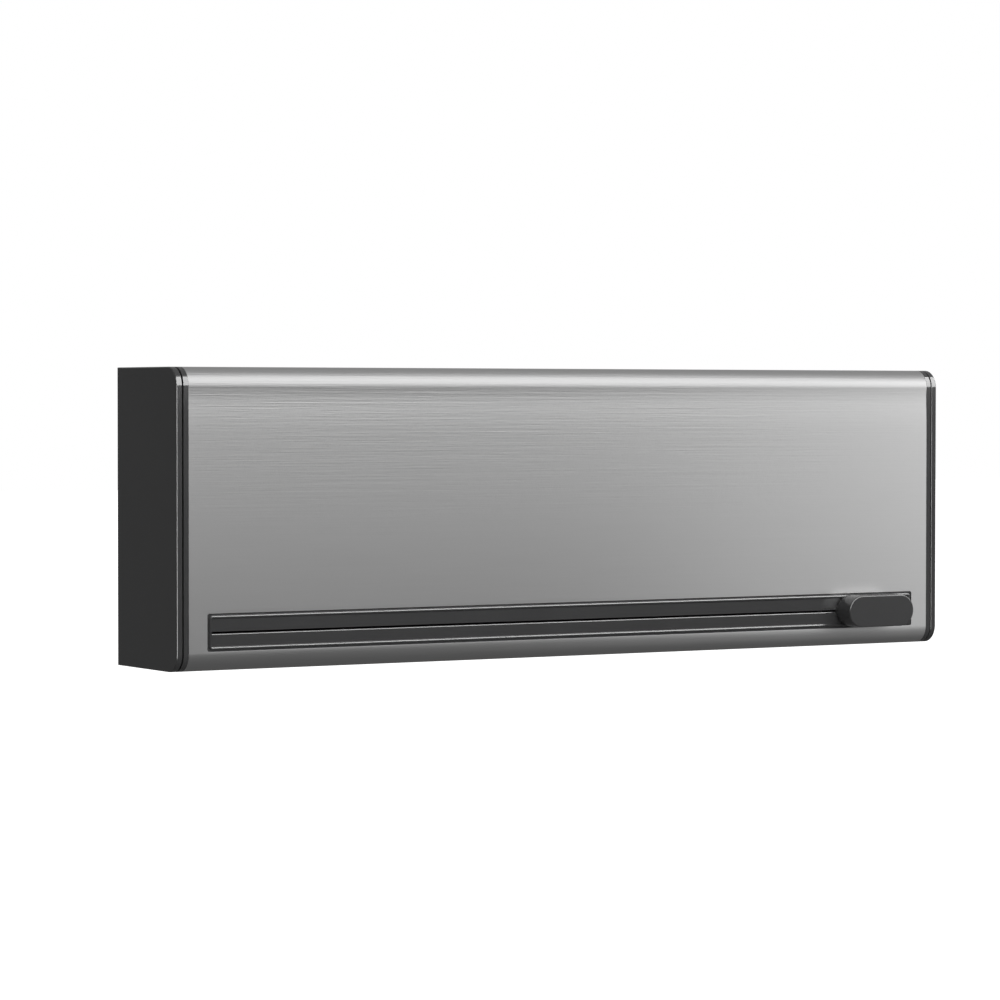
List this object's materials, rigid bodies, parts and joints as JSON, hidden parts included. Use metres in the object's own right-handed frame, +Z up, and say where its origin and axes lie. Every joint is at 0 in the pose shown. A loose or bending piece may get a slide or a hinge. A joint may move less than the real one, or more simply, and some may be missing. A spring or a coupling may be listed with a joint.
{
  "type": "cling film dispenser",
  "caption": "Wall-mounted cling film dispenser: brushed steel lid folds down between dark end panels, a knob slides a blade along the film slot.",
  "frame": {"origin": "Centre of the four wall screw holes, on the wall plane behind the housing.", "axes": "+X runs to the right along the film slot as a user sees it, -Y is the front, +Z is up."},
  "size_m": [0.38, 0.0654, 0.1226],
  "materials": {
    "housing_plastic": "fine textured dark grey moulding",
    "panel_plastic": "satin dark grey, almost smooth",
    "trim_plastic": "satin dark grey, smooth on the front",
    "bezel_plastic": "satin dark grey",
    "knob_plastic": "satin dark grey",
    "pale_plastic": "natural acetal",
    "skin_steel": "horizontal brush lines",
    "rod_steel": "drawn bar",
    "pin_steel": "ground",
    "spring_steel": "drawn wire",
    "blade_steel": "ground edges",
    "zinc_screws": "bright zinc",
    "magnet_metal": "nickel plated",
    "rail_aluminium": "natural anodised extrusion",
    "buffer_rubber": "soft black",
    "core_card": "wound card",
    "film_plastic": "tightly wound clear film"
  },
  "bodies": {
    "housing": {"rear_housing": "housing_plastic", "left_end_panel": "panel_plastic", "right_end_panel": "panel_plastic", "panel_screws": "zinc_screws", "hinge_pins": "pin_steel", "film_rod": "rod_steel", "left_spigot": "pale_plastic", "spigot_screw": "zinc_screws", "spigot_guide": "housing_plastic", "guide_screws": "zinc_screws", "spigot_spring": "spring_steel", "catch_magnets": "magnet_metal"},
    "lid": {"steel_skin": "skin_steel", "lid_liner": "housing_plastic", "left_trim": "trim_plastic", "right_trim": "trim_plastic", "trim_screws": "zinc_screws", "hinge_bushes": "pale_plastic", "strike_plates": "magnet_metal", "slot_bezel": "bezel_plastic", "bezel_clamps": "zinc_screws", "clamp_screws": "zinc_screws", "guide_rail": "rail_aluminium", "rail_screws": "zinc_screws", "rail_buffers": "buffer_rubber"},
    "cutter": {"cutter_carriage": "pale_plastic", "carriage_screws": "zinc_screws", "cutter_blade": "blade_steel", "knob_shoe": "bezel_plastic", "cutter_knob": "knob_plastic"},
    "sprung_spigot": {"right_spigot": "pale_plastic"},
    "roll": {"film_core": "core_card", "film_roll": "film_plastic"}
  },
  "joints": [
    {"name": "lid_hinge", "type": "hinge", "parent": "housing", "child": "lid", "pos_m": [0, -0.04725, -0.0535], "axis": [1, 0, 0], "range_deg": [0, 92]},
    {"name": "cutter_slide", "type": "slide", "parent": "lid", "child": "cutter", "axis": [-1, 0, 0], "range_m": [0, 0.3044]},
    {"name": "spigot_slide", "type": "slide", "parent": "housing", "child": "sprung_spigot", "axis": [1, 0, 0], "range_m": [0, 0.01], "stiffness_N_per_m": 400, "springref_m": -0.005, "deforming": ["spigot_spring"]},
    {"name": "roll_spin", "type": "hinge", "parent": "housing", "child": "roll", "pos_m": [0, -0.0275, 0.01], "axis": [1, 0, 0], "continuous": true}
  ]
}
